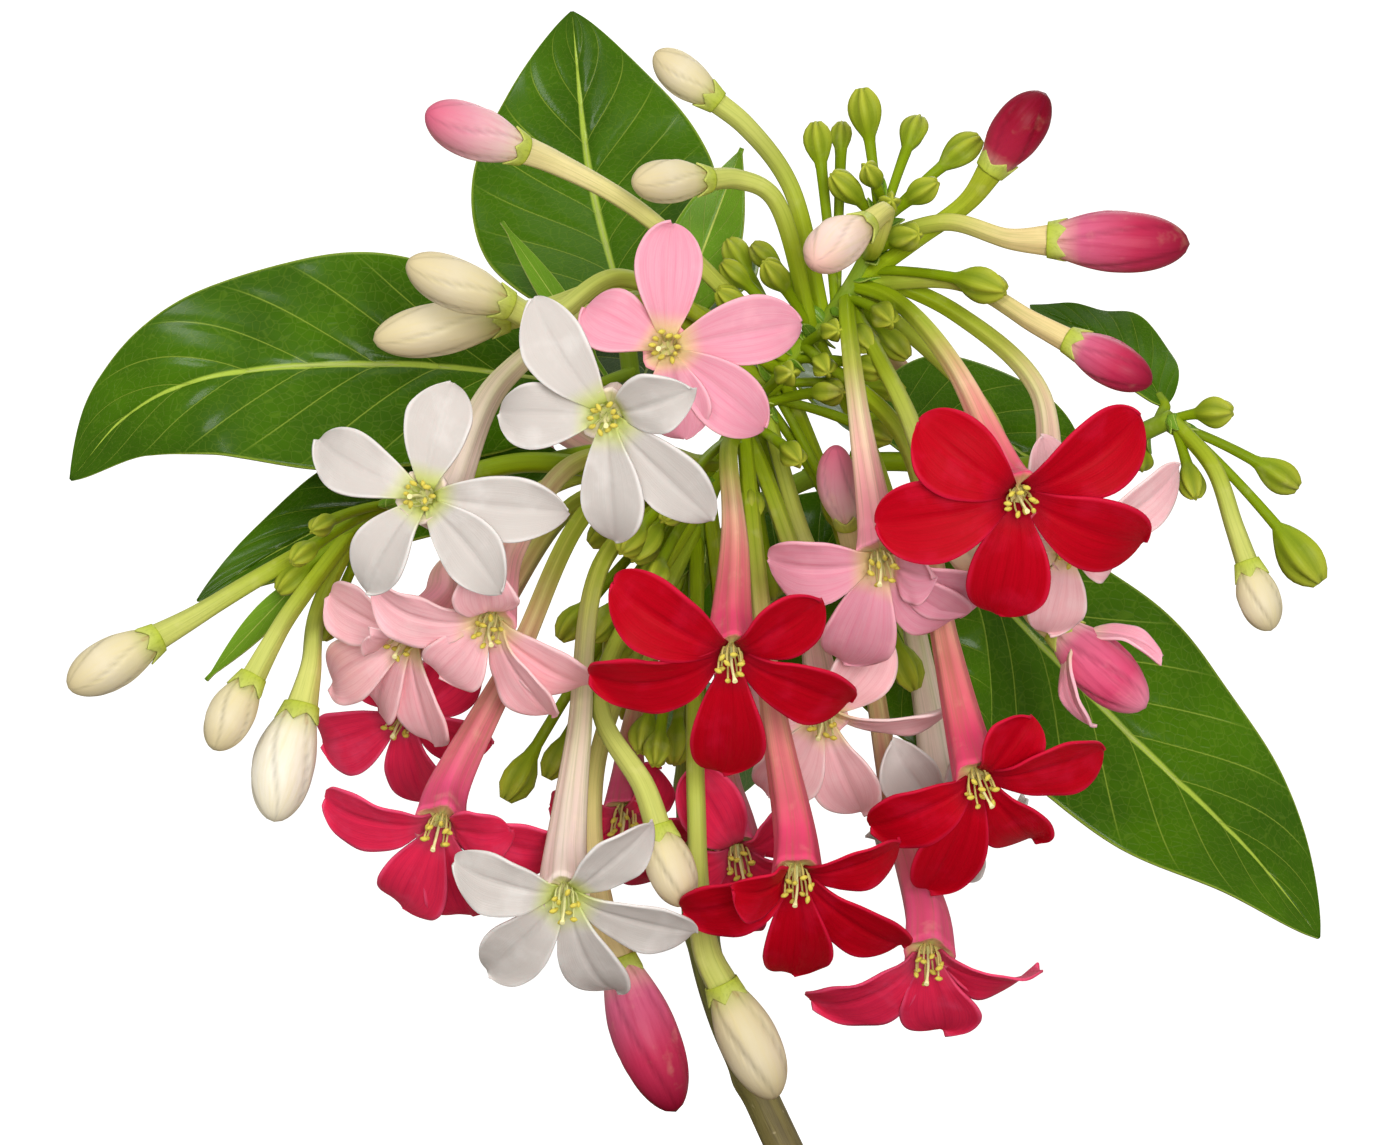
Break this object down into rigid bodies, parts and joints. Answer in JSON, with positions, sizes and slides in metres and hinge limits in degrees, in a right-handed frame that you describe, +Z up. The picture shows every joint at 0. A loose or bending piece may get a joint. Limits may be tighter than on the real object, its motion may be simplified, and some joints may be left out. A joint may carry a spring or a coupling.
{
  "type": "potted rangoon creeper",
  "caption": "Flowering vine in a plain clay pot: one leaning stem with glossy leaves and a nodding head of long-tubed white, pink and red flowers and buds.",
  "frame": {"origin": "centre of the pot's flat foot, on the surface it stands on", "axes": "+Z up, the flower head faces -Y, +X to the right as seen from the front"},
  "size_m": [0.2061, 0.1901, 0.3181],
  "materials": {
    "terracotta": "matt",
    "potting_soil": "matt, crumbly",
    "vine_bark": "matt",
    "green_shoot": "satin",
    "leaf_blade": "glossy",
    "petal_red": "satin",
    "petal_rose": "satin",
    "petal_pink": "satin",
    "petal_blush": "satin",
    "petal_white": "satin",
    "bud_cream": "satin",
    "bud_pink": "satin",
    "bud_rose": "satin"
  },
  "bodies": {
    "root": {"pot": "terracotta", "soil": "potting_soil", "vine_stem": "vine_bark", "flower_stalk": "green_shoot", "shoot_left": "green_shoot", "shoot_right": "green_shoot", "bud_spray_left": "green_shoot", "red_centre": "petal_red", "red_right": "petal_red", "red_low": "petal_red", "red_low_right": "petal_red", "rose_low_right": "petal_rose", "rose_left": "petal_rose", "rose_back_left": "petal_rose", "rose_low_mid": "petal_rose", "rose_mid_back": "petal_rose", "rose_back_high": "petal_rose", "pink_top": "petal_pink", "pink_left": "petal_pink", "pink_far_left": "petal_pink", "pink_mid_right": "petal_pink", "pink_back": "petal_pink", "blush_low": "petal_blush", "blush_right": "petal_blush", "white_centre": "petal_white", "white_left": "petal_white", "white_low": "petal_white", "white_back_right": "petal_white", "bud_pink_up_left": "bud_pink", "bud_pink_mid": "bud_pink", "bud_cream_top": "bud_cream", "bud_cream_mid": "bud_cream", "bud_cream_left_up": "bud_cream", "bud_cream_left_low": "bud_cream", "bud_hub_front": "bud_cream", "bud_behind_red": "bud_cream", "bud_left_far": "bud_cream", "bud_left_mid": "bud_cream", "bud_left_near": "bud_cream", "bud_low_cream": "bud_cream", "bud_low_mid": "bud_cream", "bud_right_cream": "bud_cream", "bud_red_top": "bud_rose", "bud_rose_right": "bud_rose", "bud_pink_right": "bud_rose", "bud_half_open": "bud_rose", "bud_low_rose": "bud_rose", "leaf_top": "leaf_blade", "leaf_left": "leaf_blade", "leaf_left_low": "leaf_blade", "leaf_right_small": "leaf_blade", "leaf_right_high": "leaf_blade", "leaf_right_low": "leaf_blade", "leaf_low_mid": "leaf_blade", "leaf_back_left": "leaf_blade", "leaf_back_right": "leaf_blade", "leaf_back_low": "leaf_blade", "leaf_heart": "leaf_blade", "leaf_pot_left": "leaf_blade", "leaf_pot_back": "leaf_blade"}
  },
  "joints": []
}
